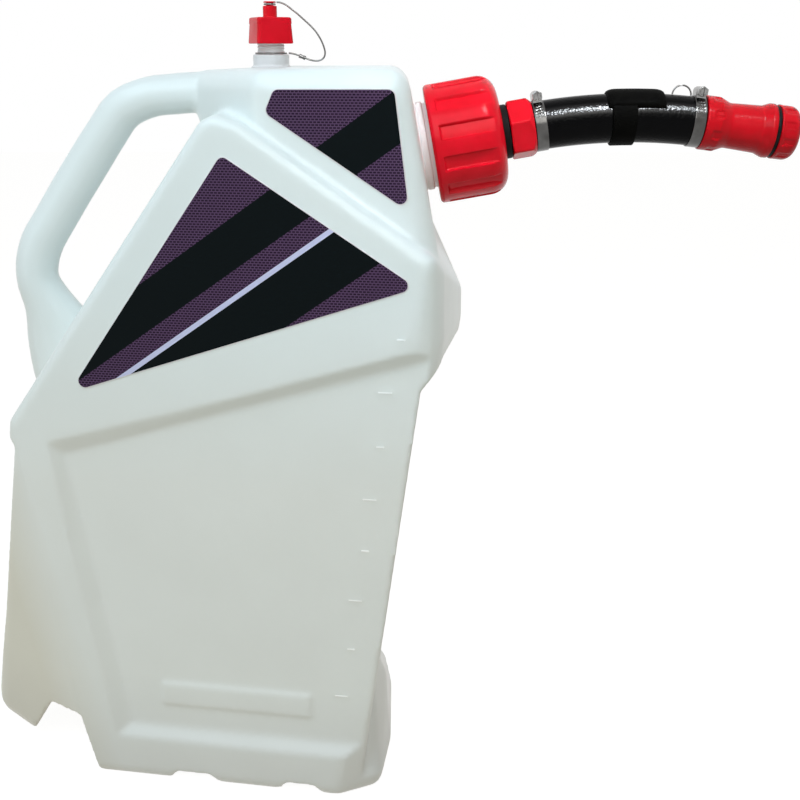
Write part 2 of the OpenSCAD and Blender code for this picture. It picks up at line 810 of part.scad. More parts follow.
// Nozzle: barb, ribbed collar, waist, front ring and spigot, turned on one axis
collar_len = 11;
collar_edge = 1;
front_ring_z = nozzle_len - 3.5;
waist_ramp = 8;
mouth_ramp = 6;
ribs = 8;
rib_gap_w = 6;
rib_depth = 0.8;
rib_start = 6;
module nozzle() {
    color(red) on_nozzle() difference() {
        union() {
            mirror([0, 0, 1]) barb();
            rotate_extrude() polygon([
                [0, 0], [collar_d / 2 - collar_edge, 0], [collar_d / 2, collar_edge],
                [collar_d / 2, collar_len], [waist_d / 2, collar_len + waist_ramp],
                [mouth_d / 2, front_ring_z - mouth_ramp], [nozzle_cap_d / 2, front_ring_z],
                [nozzle_cap_d / 2, nozzle_len], [0, nozzle_len]
            ]);
            translate([0, 0, nozzle_len - 1]) cylinder(h = spigot_len + 1, d = spigot_d);
        }
        translate([0, 0, -barb_len - 1]) cylinder(h = barb_len + nozzle_len + spigot_len + 2, d = flow_d);
        for (i = [0 : ribs - 1])
            rotate([0, 0, 360 * (i + 0.5) / ribs])
                translate([collar_d / 2 - rib_depth, -rib_gap_w / 2, rib_start])
                    cube([2 * rib_depth, rib_gap_w, collar_len]);
    }
}

module nozzle_ring() {
    color(black) on_nozzle() translate([0, 0, nozzle_len]) difference() {
        cylinder(h = ring_t, d = nozzle_cap_d - 2);
        translate([0, 0, -1]) cylinder(h = ring_t + 2, d = spigot_d + 2 * run_gap);
    }
}

// Nozzle cap, a cup over the spigot with a round end and shallow finger grooves
nozzle_cap_r = 8;
nozzle_grooves = 10;
nozzle_groove_w = 5;
nozzle_groove_depth = 0.8;
nozzle_groove_at = 2.5;
module nozzle_cap() {
    r = nozzle_cap_d / 2;
    foot = nozzle_len + ring_t;
    end = foot + nozzle_cap_len;
    color(red) on_nozzle() difference() {
        rotate_extrude() difference() {
            union() {
                translate([0, foot]) square([r, nozzle_cap_len - nozzle_cap_r]);
                translate([0, foot]) square([r - nozzle_cap_r, nozzle_cap_len]);
                intersection() {
                    translate([r - nozzle_cap_r, end - nozzle_cap_r]) circle(nozzle_cap_r);
                    translate([0, foot]) square([r, nozzle_cap_len]);
                }
            }
            translate([-eps, foot - 1])
                square([spigot_d / 2 + fit_gap + eps, spigot_len - ring_t + run_gap + 1]);
        }
        for (i = [0 : nozzle_grooves - 1])
            rotate([0, 0, 360 * i / nozzle_grooves])
                translate([r - nozzle_groove_depth, -nozzle_groove_w / 2, foot + nozzle_groove_at])
                    cube([2 * nozzle_groove_depth, nozzle_groove_w, nozzle_cap_len - nozzle_cap_r]);
    }
}

// Vent cap: a tapered square cup with a nub that holds the tether's loop
vent_turn = 23;
vent_taper = 0.94;
loop_low = boss_h + vent_gap + vent_cap_h + nub_h;
nub_groove = wire_d + 2 * run_gap;
nub_lip = 1;
module vent_cap() {
    foot = boss_h + vent_gap;
    top = foot + vent_cap_h;
    bore = stem_d / 2 + fit_gap;
    color(red) on_vent() rotate([0, 0, vent_turn]) difference() {
        union() {
            translate([0, 0, foot]) linear_extrude(vent_cap_h, scale = vent_taper)
                square(vent_cap_w, center = true);
            translate([0, 0, top - 1]) cylinder(h = nub_h + 1, d = nub_d);
            translate([0, 0, top + nub_h - 1]) cylinder(h = 1 + nub_groove, d = nub_d - 4 * wire_d);
            translate([0, 0, top + nub_h + nub_groove]) cylinder(h = nub_lip, d = nub_d - wire_d);
        }
        translate([0, 0, foot - 1]) cylinder(h = 1 + boss_h + stem_h + vent_seal_t - foot, r = bore);
    }
}

module vent_seal() {
    color(black) on_vent() translate([0, 0, boss_h + stem_h])
        cylinder(h = vent_seal_t, d = stem_d - 2 * run_gap);
}

// Tether: route of the wire from the nub's loop down to the stem's loop, in x and height from the vent
wire_route = [
    [5, 45.5], [8, 45.2], [12, 43.5], [16, 40.5], [20, 37.5], [24, 34], [28, 30.5], [32, 26.5], [35, 22.5],
    [37.5, 18], [39.2, 13.5], [39.8, 10], [39, 7], [36.5, 5], [33, 4.4], [29, 5], [25, 6.4], [21, 8],
    [17, 9.3], [13, 9.9]
];
module tether_wire() {
    pts = [for (p = wire_route) [vent_x + p[0], 0, can_h + p[1]]];
    half = [for (p = pts) wire_d / 2];
    color(steel) swept(pts, half, half, 8);
}

// Loop of wire laid round a post
module wire_loop(r) {
    rotate_extrude() translate([r, 0]) circle(d = wire_d);
}

module tether_top_loop() {
    color(steel) on_vent() translate([0, 0, loop_low + nub_groove / 2]) wire_loop(nub_d / 2 - wire_d);
}

module tether_stem_loop() {
    color(steel) on_vent() translate([0, 0, boss_h + wire_d / 2 + seat_gap]) wire_loop(stem_d / 2 + wire_d);
}

// Crimped ferrule on the wire beside the stem
ferrule_d = 3;
ferrule_l = 5;
ferrule_at = [23, 0, 7.2];
ferrule_lean = -70;
module tether_ferrules() {
    color(steel) on_vent() translate(ferrule_at) rotate([0, ferrule_lean, 0]) difference() {
        cylinder(h = ferrule_l, d = ferrule_d, center = true);
        cylinder(h = 2 * ferrule_l, d = wire_d + 2 * run_gap, center = true);
    }
}

can_shell();
large_label_left();
large_label_right();
small_label_left();
small_label_right();
neck_gasket();
screw_cap();
fitting_seal();
hose_fitting();
fitting_washer();
fitting_locknut();
hose();
rear_clamp_band();
rear_clamp_housing();
rear_clamp_screw();
hose_clip();
front_clamp_band();
front_clamp_housing();
front_clamp_screw();
lanyard_eye();
nozzle();
nozzle_ring();
nozzle_cap();
vent_cap();
vent_seal();
tether_wire();
tether_top_loop();
tether_stem_loop();
tether_ferrules();
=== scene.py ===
import json
import math
import bmesh
import bpy
from mathutils import Matrix, Vector


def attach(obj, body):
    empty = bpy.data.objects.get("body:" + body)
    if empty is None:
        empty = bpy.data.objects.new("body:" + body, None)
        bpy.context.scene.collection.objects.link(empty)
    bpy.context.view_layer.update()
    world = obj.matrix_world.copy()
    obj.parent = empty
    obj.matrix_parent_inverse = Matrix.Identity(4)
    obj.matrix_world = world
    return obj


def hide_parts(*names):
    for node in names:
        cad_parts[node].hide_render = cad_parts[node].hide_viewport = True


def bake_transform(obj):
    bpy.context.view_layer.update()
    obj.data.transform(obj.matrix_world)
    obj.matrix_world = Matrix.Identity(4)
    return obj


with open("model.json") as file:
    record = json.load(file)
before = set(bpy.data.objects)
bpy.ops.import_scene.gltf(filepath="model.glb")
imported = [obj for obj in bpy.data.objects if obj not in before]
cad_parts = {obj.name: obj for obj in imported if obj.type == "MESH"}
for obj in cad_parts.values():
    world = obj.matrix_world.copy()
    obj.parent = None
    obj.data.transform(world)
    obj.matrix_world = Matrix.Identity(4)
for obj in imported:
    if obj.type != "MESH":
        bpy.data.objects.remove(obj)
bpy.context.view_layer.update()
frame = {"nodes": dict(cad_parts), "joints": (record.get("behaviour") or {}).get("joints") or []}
scene = bpy.context.scene
scene.view_settings.view_transform = "Standard"
mm = 0.001
tau = 2 * math.pi
joints = {joint["name"]: joint for joint in frame["joints"]}
print("frame loaded:", len(frame["nodes"]), "nodes")

# camera at the photograph's angle
cameraSetup = {"lens": 53.325, "sensor": 36.0, "place": (0.169, -0.910, 0.560), "tilt": 73.55}
cameraData = bpy.data.cameras.new("camera")
cameraData.lens = cameraSetup["lens"]
cameraData.sensor_width = cameraSetup["sensor"]
camera = bpy.data.objects.new("camera", cameraData)
camera.location = cameraSetup["place"]
camera.rotation_euler = (math.radians(cameraSetup["tilt"]), 0, 0)
scene.collection.objects.link(camera)
scene.camera = camera


# materials
def addNode(tree, kind, inputs=(), **settings):
    node = tree.nodes.new(kind)
    for name, value in settings.items():
        setattr(node, name, value)
    for name, value in dict(inputs).items():
        socket = node.inputs[name]
        if isinstance(value, bpy.types.NodeSocket):
            tree.links.new(value, socket)
        else:
            socket.default_value = value
    return node


def newMaterial(name, **sockets):
    material = bpy.data.materials.new(name)
    material.use_nodes = True
    shader = material.node_tree.nodes["Principled BSDF"]
    for socket, value in sockets.items():
        shader.inputs[socket.replace("_", " ")].default_value = value
    return material, material.node_tree, shader


def noiseOf(tree, scale, detail=3.0, stretch=(1, 1, 1)):
    place = addNode(tree, "ShaderNodeTexCoord")
    spread = addNode(tree, "ShaderNodeMapping", {"Vector": place.outputs["Object"], "Scale": stretch})
    noise = addNode(tree, "ShaderNodeTexNoise",
                    {"Vector": spread.outputs["Vector"], "Scale": scale, "Detail": detail})
    return noise.outputs["Fac"]


def toneBetween(tree, shader, factor, low, high):
    ramp = addNode(tree, "ShaderNodeValToRGB", {"Fac": factor})
    ramp.color_ramp.elements[0].position = 0.3
    ramp.color_ramp.elements[1].position = 0.7
    ramp.color_ramp.elements[0].color = (*low, 1)
    ramp.color_ramp.elements[1].color = (*high, 1)
    tree.links.new(ramp.outputs["Color"], shader.inputs["Base Color"])


def roughBetween(tree, shader, factor, low, high):
    spread = addNode(tree, "ShaderNodeMapRange",
                     {"Value": factor, "From Min": 0.3, "From Max": 0.7, "To Min": low, "To Max": high})
    tree.links.new(spread.outputs["Result"], shader.inputs["Roughness"])


def bumpFrom(tree, shader, height, strength, depth):
    bump = addNode(tree, "ShaderNodeBump", {"Height": height, "Strength": strength, "Distance": depth})
    tree.links.new(bump.outputs["Normal"], shader.inputs["Normal"])


# painted light and shade on the skin: painted shade darker towards its foot, painted warm bounce light low
# at the rear and painted cool light high up
skinPaintedLight = [
    ((0, 0, 1), 0.09, 0.0, (0.84, 0.83, 0.84, 1)),
    ((-1, 0, -0.25), 0.05, 0.10, (0.88, 0.83, 0.73, 1)),
    ((0, 0, 1), 0.25, 0.40, (0.99, 1.06, 1.11, 1)),
]


def paintLightAndShade(tree, shader):
    place = addNode(tree, "ShaderNodeTexCoord")
    colour = shader.inputs["Base Color"].links[0].from_socket
    for along, start, end, tint in skinPaintedLight:
        spot = addNode(tree, "ShaderNodeVectorMath", {0: place.outputs["Object"], 1: along},
                       operation="DOT_PRODUCT")
        share = addNode(tree, "ShaderNodeMapRange",
                        {"Value": spot.outputs["Value"], "From Min": start, "From Max": end})
        mix = addNode(tree, "ShaderNodeMix", {0: share.outputs["Result"], 6: colour, 7: tint},
                      data_type="RGBA", blend_type="MULTIPLY")
        colour = mix.outputs[2]
    tree.links.new(colour, shader.inputs["Base Color"])


def milkyPlastic(name, low, high):
    # the weak warm glow is painted light, standing in for warm bounce light from the floor
    material, tree, shader = newMaterial(name, IOR=1.5, Emission_Color=(0.78, 0.72, 0.58, 1),
                                         Emission_Strength=0.07)
    toneBetween(tree, shader, noiseOf(tree, 14), low, high)
    # paints the skin's light and shade into its base colour
    paintLightAndShade(tree, shader)
    roughBetween(tree, shader, noiseOf(tree, 45), 0.30, 0.38)
    bumpFrom(tree, shader, noiseOf(tree, 420, 4), 0.06, 0.0003)
    return material


def redPlastic(name, low, high):
    material, tree, shader = newMaterial(name, Specular_IOR_Level=0.13)
    toneBetween(tree, shader, noiseOf(tree, 60), low, high)
    roughBetween(tree, shader, noiseOf(tree, 240), 0.16, 0.25)
    bumpFrom(tree, shader, noiseOf(tree, 900, 4), 0.10, 0.0003)
    return material


# painted sheen: more specular where the face leans up by about the given share
def sheenBand(tree, shader, tilt, low, high):
    facing = addNode(tree, "ShaderNodeNewGeometry")
    face = addNode(tree, "ShaderNodeSeparateXYZ", {0: facing.outputs["Normal"]})
    away = addNode(tree, "ShaderNodeMath", {0: face.outputs["Z"], 1: tilt}, operation="SUBTRACT")
    size = addNode(tree, "ShaderNodeMath", {0: away.outputs[0]}, operation="ABSOLUTE")
    band = addNode(tree, "ShaderNodeMapRange", {"Value": size.outputs[0], "From Min": 0.05, "From Max": 0.26,
                                                "To Min": high, "To Max": low},
                   interpolation_type="SMOOTHSTEP")
    tree.links.new(band.outputs["Result"], shader.inputs["Specular IOR Level"])


def hoseRubber():
    material, tree, shader = newMaterial("hoseRubber")
    sheenBand(tree, shader, 0.48, 0.05, 0.42)  # painted sheen along its upper shoulders
    toneBetween(tree, shader, noiseOf(tree, 120), (0.0004, 0.0004, 0.0006), (0.0010, 0.0010, 0.0013))
    roughBetween(tree, shader, noiseOf(tree, 500), 0.12, 0.18)
    bumpFrom(tree, shader, noiseOf(tree, 520, 2), 0.5, 0.0005)
    return material


def blackPlastic():
    material, tree, shader = newMaterial("blackPlastic", Specular_IOR_Level=0.02)
    toneBetween(tree, shader, noiseOf(tree, 150), (0.0012, 0.0012, 0.0011), (0.0024, 0.0023, 0.0020))
    roughBetween(tree, shader, noiseOf(tree, 300), 0.5, 0.66)
    bumpFrom(tree, shader, noiseOf(tree, 1500, 3), 0.2, 0.0002)
    return material


def sealRubber():
    material, tree, shader = newMaterial("sealRubber", Specular_IOR_Level=0.08)
    toneBetween(tree, shader, noiseOf(tree, 200), (0.004, 0.004, 0.0045), (0.009, 0.0088, 0.0088))
    roughBetween(tree, shader, noiseOf(tree, 700), 0.45, 0.6)
    bumpFrom(tree, shader, noiseOf(tree, 1800, 3), 0.2, 0.0002)
    return material


def brushedSteel(name, low, high):
    material, tree, shader = newMaterial(name, Metallic=1.0)
    toneBetween(tree, shader, noiseOf(tree, 90), low, high)
    roughBetween(tree, shader, noiseOf(tree, 260, 3, (1, 12, 1)), 0.15, 0.26)
    bumpFrom(tree, shader, noiseOf(tree, 700, 3, (1, 10, 1)), 0.12, 0.0002)
    return material


milky = milkyPlastic("milkyPlastic", (0.690, 0.725, 0.705), (0.712, 0.750, 0.732))
# the neck's pinkish tone is its own, made paler as painted light against the shade between cap and body
neckLitPale = milkyPlastic("neckPaintedLight", (0.82, 0.77, 0.75), (0.86, 0.81, 0.79))
stemPale = milkyPlastic("stemPlastic", (0.58, 0.55, 0.54), (0.62, 0.59, 0.58))
# the ticks' whiter tone is a painted highlight, as if their raised edges catch the light
tickHighlightTone = milkyPlastic("tickPaintedHighlight", (0.86, 0.88, 0.87), (0.90, 0.92, 0.91))
red = redPlastic("redPlastic", (0.66, 0.002, 0.012), (0.75, 0.004, 0.018))
# the nozzle's darker red is painted shade, a dim copy of the cap's red for a part further from the light
nozzleShadedRed = redPlastic("nozzleShadedRed", (0.45, 0.001, 0.006), (0.52, 0.002, 0.009))
hoseBlack = hoseRubber()
clipBlack = blackPlastic()
sealBlack = sealRubber()
# the dark steel tones are painted reflection of dark surroundings; the screw steel is a lighter copy that
# reads as brightly lit
steel = brushedSteel("brushedSteel", (0.07, 0.068, 0.065), (0.12, 0.118, 0.115))
screwSteel = brushedSteel("screwSteel", (0.18, 0.178, 0.175), (0.36, 0.357, 0.35))
wireSteel = brushedSteel("wireSteel", (0.14, 0.135, 0.13), (0.24, 0.235, 0.23))
print("materials made")


# mesh helpers, sizes in millimetres
def filleted(corners, steps=4):
    points = []
    for i, (r, z, size) in enumerate(corners):
        here = Vector((r, z))
        back = Vector(corners[i - 1][:2]) - here
        ahead = Vector(corners[(i + 1) % len(corners)][:2]) - here
        if size <= 0:
            points.append((r, z))
            continue
        half = back.angle(ahead) / 2
        cut = min(size / math.tan(half), 0.49 * back.length, 0.49 * ahead.length)
        radius = cut * math.tan(half)
        middle = here + (back.normalized() + ahead.normalized()).normalized() * radius / math.sin(half)
        first = here + back.normalized() * cut - middle
        last = here + ahead.normalized() * cut - middle
        sweep = math.atan2(first.x * last.y - first.y * last.x, first.dot(last))
        for k in range(steps + 1):
            spun = Matrix.Rotation(sweep * k / steps, 2) @ first
            points.append((middle.x + spun.x, middle.y + spun.y))
    return points


def dense(points, step, closed=True):
    filled = []
    for i, point in enumerate(points):
        filled.append(point)
        if i == len(points) - 1 and not closed:
            break
        ahead = points[(i + 1) % len(points)]
        parts = int(math.dist(point, ahead) // step)
        filled += [tuple(a + (b - a) * k / parts for a, b in zip(point, ahead)) for k in range(1, parts)]
    return filled


def turned(profile, segments, place, reach=None, closed=True):
    verts, faces, count = [], [], len(profile)
    for j in range(segments):
        angle = tau * j / segments
        for r, z in profile:
            out = reach(angle, r, z) if reach else r
            verts.append(place(out * math.cos(angle), out * math.sin(angle), z))
    for j in range(segments):
        k = (j + 1) % segments
        for i in range(count if closed else count - 1):
            n = (i + 1) % count
            faces.append((j * count + i, k * count + i, k * count + n, j * count + n))
    return verts, faces


def tube(points, radius, sides):
    verts, faces, last = [], [], len(points) - 1
    for i, point in enumerate(points):
        ahead = (points[min(i + 1, last)] - points[max(i - 1, 0)]).normalized()
        across = Vector((0, 1, 0))
        up = across.cross(ahead).normalized()
        for k in range(sides):
            angle = tau * k / sides
            verts.append(point + (up * math.cos(angle) + across * math.sin(angle)) * radius)
    for i in range(last):
        for k in range(sides):
            n = (k + 1) % sides
            faces.append((i * sides + k, i * sides + n, (i + 1) * sides + n, (i + 1) * sides + k))
    faces.append(tuple(range(sides)))
    faces.append(tuple(last * sides + k for k in range(sides)))
    return verts, faces


def joined(*shapes):
    verts, faces = [], []
    for shapeVerts, shapeFaces in shapes:
        faces += [tuple(i + len(verts) for i in face) for face in shapeFaces]
        verts += shapeVerts
    return verts, faces


def smoothLine(points, steps):
    line = []
    for i in range(len(points) - 1):
        a, b = points[max(i - 1, 0)], points[i]
        c, d = points[i + 1], points[min(i + 2, len(points) - 1)]
        for k in range(steps):
            t = k / steps
            line.append(0.5 * (2 * b + (c - a) * t + (2 * a - 5 * b + 4 * c - d) * t * t
                               + (3 * b - a - 3 * c + d) * t ** 3))
    return line + [points[-1]]


def smoothStep(low, high, value):
    t = min(max((value - low) / (high - low), 0), 1)
    return t * t * (3 - 2 * t)


def makePiece(name, shape, body, material, stands=(), sharp=38):
    mesh = bpy.data.meshes.new(name)
    mesh.from_pydata(shape[0], [], shape[1])
    grid = bmesh.new()
    grid.from_mesh(mesh)
    bmesh.ops.remove_doubles(grid, verts=grid.verts, dist=1e-6)
    bmesh.ops.recalc_face_normals(grid, faces=grid.faces)
    grid.to_mesh(mesh)
    grid.free()
    mesh.materials.append(material)
    return addPiece(name, mesh, body, stands, sharp)


def addPiece(name, mesh, body, stands=(), sharp=38):
    mesh.shade_smooth()
    mesh.set_sharp_from_angle(angle=math.radians(sharp))
    piece = bpy.data.objects.new(name, mesh)
    scene.collection.objects.link(piece)
    if body:
        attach(piece, body)
    if stands:
        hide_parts(*stands)
    return piece


def bakedMesh(piece):
    graph = bpy.context.evaluated_depsgraph_get()
    return bpy.data.meshes.new_from_object(piece.evaluated_get(graph))


# places on the object, from its joints
def axisFrame(jointName):
    joint = joints[jointName]
    axis = Vector(joint["axis"]).normalized()
    across = Vector((0, 1, 0))
    below = across.cross(axis)
    matrix = Matrix((below, across, axis)).transposed().to_4x4()
    matrix.translation = joint["pos_m"]
    return matrix


def placer(matrix):
    return lambda x, y, z: matrix @ Vector((x * mm, y * mm, z * mm))


neckFrame = axisFrame("cap_turn")
nozzleFrame = axisFrame("nozzle_turn")
ventFrame = axisFrame("vent_turn")
onNeck, onNozzle, onVent = placer(neckFrame), placer(nozzleFrame), placer(ventFrame)

hoseLine = {"start": 86, "bend": 425, "degrees": 17}
hoseLength = hoseLine["bend"] * math.radians(hoseLine["degrees"])


def hoseFrame(length):
    turn = length / hoseLine["bend"]
    shift = Vector((1 - math.cos(turn), 0, math.sin(turn))) * hoseLine["bend"] * mm
    shift.z += hoseLine["start"] * mm
    return neckFrame @ Matrix.Translation(shift) @ Matrix.Rotation(turn, 4, "Y")


def onHose(x, y, z):
    return hoseFrame(z) @ Vector((x * mm, y * mm, 0))


# tether wire of the vent cap, from its nub down to its stem
tether = {
    "diameter": 1.25, "sides": 12,
    "route": [(5, 45.5), (8, 45.2), (12, 43.5), (16, 40.5), (20, 37.5), (24, 34), (28, 30.5), (32, 26.5),
              (35, 22.5), (37.5, 18), (39.2, 13.5), (39.8, 10), (39, 7), (36.5, 5), (33, 4.4), (29, 5),
              (25, 6.4), (21, 8), (17, 9.3), (13, 9.9)],
}
tetherLine = smoothLine([onVent(x, 0, z) for x, z in tether["route"]], 4)
tetherPiece = makePiece("tetherWire", tube(tetherLine, tether["diameter"] / 2 * mm, tether["sides"]), None,
                        wireSteel, ["tether_wire"])
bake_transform(tetherPiece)

loopSizes = {"topRadius": 3.9, "topHeight": 44.025, "stemRadius": 11.25, "stemHeight": 9.725, "steps": 12}


def wireLoop(radius, height):
    ring = [(radius + tether["diameter"] / 2 * math.cos(tau * k / loopSizes["steps"]),
             height + tether["diameter"] / 2 * math.sin(tau * k / loopSizes["steps"]))
            for k in range(loopSizes["steps"])]
    return turned(ring, 64, onVent)


makePiece("tetherTopLoop", wireLoop(loopSizes["topRadius"], loopSizes["topHeight"]), "vent_slider",
          wireSteel, ["tether_top_loop"])
makePiece("tetherStemLoop", wireLoop(loopSizes["stemRadius"], loopSizes["stemHeight"]), "can",
          wireSteel, ["tether_stem_loop"])

ferrule = {"place": (23, 0, 7.2), "lean": -70, "length": 5, "outer": 1.5, "inner": 1.0, "pinch": 0.25}
ferruleFrame = (ventFrame @ Matrix.Translation(Vector(ferrule["place"]) * mm)
                @ Matrix.Rotation(math.radians(ferrule["lean"]), 4, "Y"))
half = ferrule["length"] / 2
ferruleEdge = filleted([(ferrule["inner"], -half, 0.1), (ferrule["outer"], -half, 0.3),
                        (ferrule["outer"], half, 0.3), (ferrule["inner"], half, 0.1)])


def pinched(angle, r, z):
    dip = math.exp(-(z / 0.9) ** 2) * abs(math.cos(angle)) * ferrule["pinch"]
    return r - dip if r > 1.2 else r


makePiece("tetherFerrule", turned(dense(ferruleEdge, 0.4), 32, placer(ferruleFrame), pinched), "can",
          wireSteel, ["tether_ferrules"])

# can body: the moulded skin with softened edges, then its neck, boss and stem
canSizes = {"voxel": 2.0, "soften": 6, "rootHeight": 1.2, "neckReach": 40, "bossReach": 15}


def softSkin():
    grid = bmesh.new()
    grid.from_mesh(frame["nodes"]["can_shell"].data)
    bmesh.ops.remove_doubles(grid, verts=grid.verts, dist=1e-6)
    fromNeck, fromVent = neckFrame.inverted(), ventFrame.inverted()

    def standsProud(vert):
        for matrix, wide in ((fromNeck, canSizes["neckReach"]), (fromVent, canSizes["bossReach"])):
            spot = matrix @ vert.co
            if spot.z > canSizes["rootHeight"] * mm and math.hypot(spot.x, spot.y) < wide * mm:
                return True
        return False

    bmesh.ops.delete(grid, geom=[v for v in grid.verts if standsProud(v)], context="VERTS")
    lowest = min(grid.verts, key=lambda v: v.co.z)   # outside skin only
    kept, edge = {lowest}, [lowest]
    while edge:
        nearby = [e.other_vert(v) for v in edge for e in v.link_edges]
        edge = [v for v in set(nearby) if v not in kept]
        kept.update(edge)
    bmesh.ops.delete(grid, geom=[v for v in grid.verts if v not in kept], context="VERTS")
    bmesh.ops.holes_fill(grid, edges=[e for e in grid.edges if e.is_boundary])
    mesh = bpy.data.meshes.new("canSkin")
    grid.to_mesh(mesh)
    grid.free()
    form = bpy.data.objects.new("canSkin", mesh)
    scene.collection.objects.link(form)
    remesh = form.modifiers.new("even", "REMESH")
    remesh.mode, remesh.voxel_size = "VOXEL", canSizes["voxel"] * mm
    soften = form.modifiers.new("soften", "SMOOTH")
    soften.factor, soften.iterations = 0.5, canSizes["soften"]
    smooth = bakedMesh(form)
    bpy.data.objects.remove(form)
    smooth.materials.clear()
    smooth.materials.append(milky)
    return smooth


addPiece("canBody", softSkin(), "can", ["can_shell"], 180)
print("can body made")

neck = {
    "outer": 31.5, "bore": 27.5, "length": 54, "bead": 32.7, "crest": 33.1, "pitch": 6, "crestHalf": 1.5,
    "from": 22, "to": 47, "segments": 128,
}
neckEdge = filleted([(neck["bore"], -2, 0), (neck["outer"] + 2.2, -0.4, 0), (neck["outer"], 1.4, 1.5),
                     (neck["bead"], 1.9, 0.4), (neck["bead"], 6, 0.8), (neck["outer"], 6.3, 0.4),
                     (neck["outer"], neck["length"], 1.2), (neck["bore"], neck["length"], 0.8)])


def threadedNeck(angle, r, z):
    if r < neck["outer"] - 0.3 or not neck["from"] - 3 < z < neck["to"] + 3:
        return r
    turns = (z - neck["from"]) / neck["pitch"] - angle / tau
    offset = abs(turns - round(turns)) * neck["pitch"]
    crest = 1 - smoothStep(0.5 * neck["crestHalf"], 1.4 * neck["crestHalf"], offset)
    ends = smoothStep(neck["from"] - 3, neck["from"], z) * smoothStep(neck["to"] + 3, neck["to"], z)
    return r + (neck["crest"] - neck["outer"]) * crest * ends


makePiece("neckThread", turned(dense(neckEdge, 0.55), neck["segments"], onNeck, threadedNeck), "can",
          neckLitPale, ["can_shell"])

stem = {"boss": 13.25, "bossHeight": 9, "stem": 10, "top": 28, "bore": 6, "pitch": 2, "groove": 0.6}
stemEdge = filleted([(stem["bore"], -2, 0), (stem["boss"] + 2, -0.3, 0), (stem["boss"], 1.4, 1.4),
                     (stem["boss"], stem["bossHeight"], 1.0), (stem["stem"], stem["bossHeight"], 0.5),
                     (stem["stem"], stem["top"], 0.7), (stem["bore"], stem["top"], 0.4)])


def threadedStem(angle, r, z):
    if r < stem["stem"] - 0.2 or z < stem["bossHeight"] + 2.5 or z > stem["top"] - 1:
        return r
    return r - stem["groove"] * (0.5 + 0.5 * math.cos(tau * z / stem["pitch"] - angle))


makePiece("ventStem", turned(dense(stemEdge, 0.3), 96, onVent, threadedStem), "can",
          stemPale, ["can_shell"])

# graduation ticks on both sides
side = {"halfWidth": 91, "angle": math.radians(10), "recess": 8, "creaseHeight": 296, "creaseSlope": 0.31,
        "wallWidth": 10, "coreLow": 137, "coreRise": 52 / 369}
ticks = {"count": 8, "low": 85.5, "step": 40.5, "inset": 21, "topShift": 5, "long": 10.5, "short": 0.6,
         "height": 1.6, "proud": 0.8, "sink": 1.2, "round": 0.45}


def sideMatrix(x, z, out, mirror):
    width = side["halfWidth"] + x * math.tan(side["angle"])
    spot = Vector((x - out * math.sin(side["angle"]), -width - out * math.cos(side["angle"]), z)) * mm
    matrix = Matrix.Translation(spot) @ Matrix.Rotation(-side["angle"], 4, "Z")
    return Matrix.Diagonal((1, -1 if mirror else 1, 1, 1)) @ matrix


def sideDepth(x, z):
    rise = (z - side["creaseHeight"] - side["creaseSlope"] * x) / side["wallWidth"]
    return side["recess"] * min(1, max(0, 1 - rise))


def tickMarks():
    grid = bmesh.new()
    for mirror in (False, True):
        for i in range(ticks["count"]):
            z = ticks["low"] + i * ticks["step"]
            x = side["coreLow"] + side["coreRise"] * z - ticks["inset"]
            x += ticks["topShift"] if i == ticks["count"] - 1 else 0
            length = ticks["long"] * (1 if i % 2 == 0 else ticks["short"])
            deep = ticks["proud"] + ticks["sink"]
            size = Matrix.Diagonal((length * mm, deep * mm, ticks["height"] * mm, 1))
            shift = Vector((-length / 2, deep / 2 - ticks["proud"], ticks["height"] / 2)) * mm
            place = sideMatrix(x, z, -sideDepth(x, z), mirror) @ Matrix.Translation(shift) @ size
            bmesh.ops.create_cube(grid, size=1, matrix=place)
    bmesh.ops.bevel(grid, geom=grid.edges[:], offset=ticks["round"] * mm, segments=3, affect="EDGES")
    bmesh.ops.recalc_face_normals(grid, faces=grid.faces)
    mesh = bpy.data.meshes.new("levelTicks")
    grid.to_mesh(mesh)
    grid.free()
    mesh.materials.append(tickHighlightTone)
    return mesh


addPiece("levelTicks", tickMarks(), "can", ["can_shell"])
print("neck, vent stem and ticks made")

# side labels: a pale film edge round a woven print
labels = {
    "thick": 0.5, "round": 5.5, "edge": 0.7, "lip": 0.15, "slant": -35,
    "large": {"corners": [(48.3, 493.3), (182, 406), (-74, 319)], "inset": 0, "span": (225, 375),
              "bars": [(0.0, "weave"), (0.2, "black"), (0.43, "pale"), (0.455, "weave"), (0.55, "black"),
                       (0.75, "weave")]},
    "small": {"corners": [(82.5, 535.5), (164, 536), (174, 454.5), (75.5, 519.5)], "inset": 11,
              "span": (260, 410), "bars": [(0.0, "weave"), (0.35, "black"), (0.55, "weave")]},
}
barTones = {"weave": (0, 0, 0, 1), "black": (1, 0, 0, 1), "pale": (0, 1, 0, 1)}


def labelFilm():
    material, tree, shader = newMaterial("labelFilm")
    toneBetween(tree, shader, noiseOf(tree, 90), (0.66, 0.66, 0.68), (0.76, 0.76, 0.78))
    roughBetween(tree, shader, noiseOf(tree, 400), 0.35, 0.5)
    return material


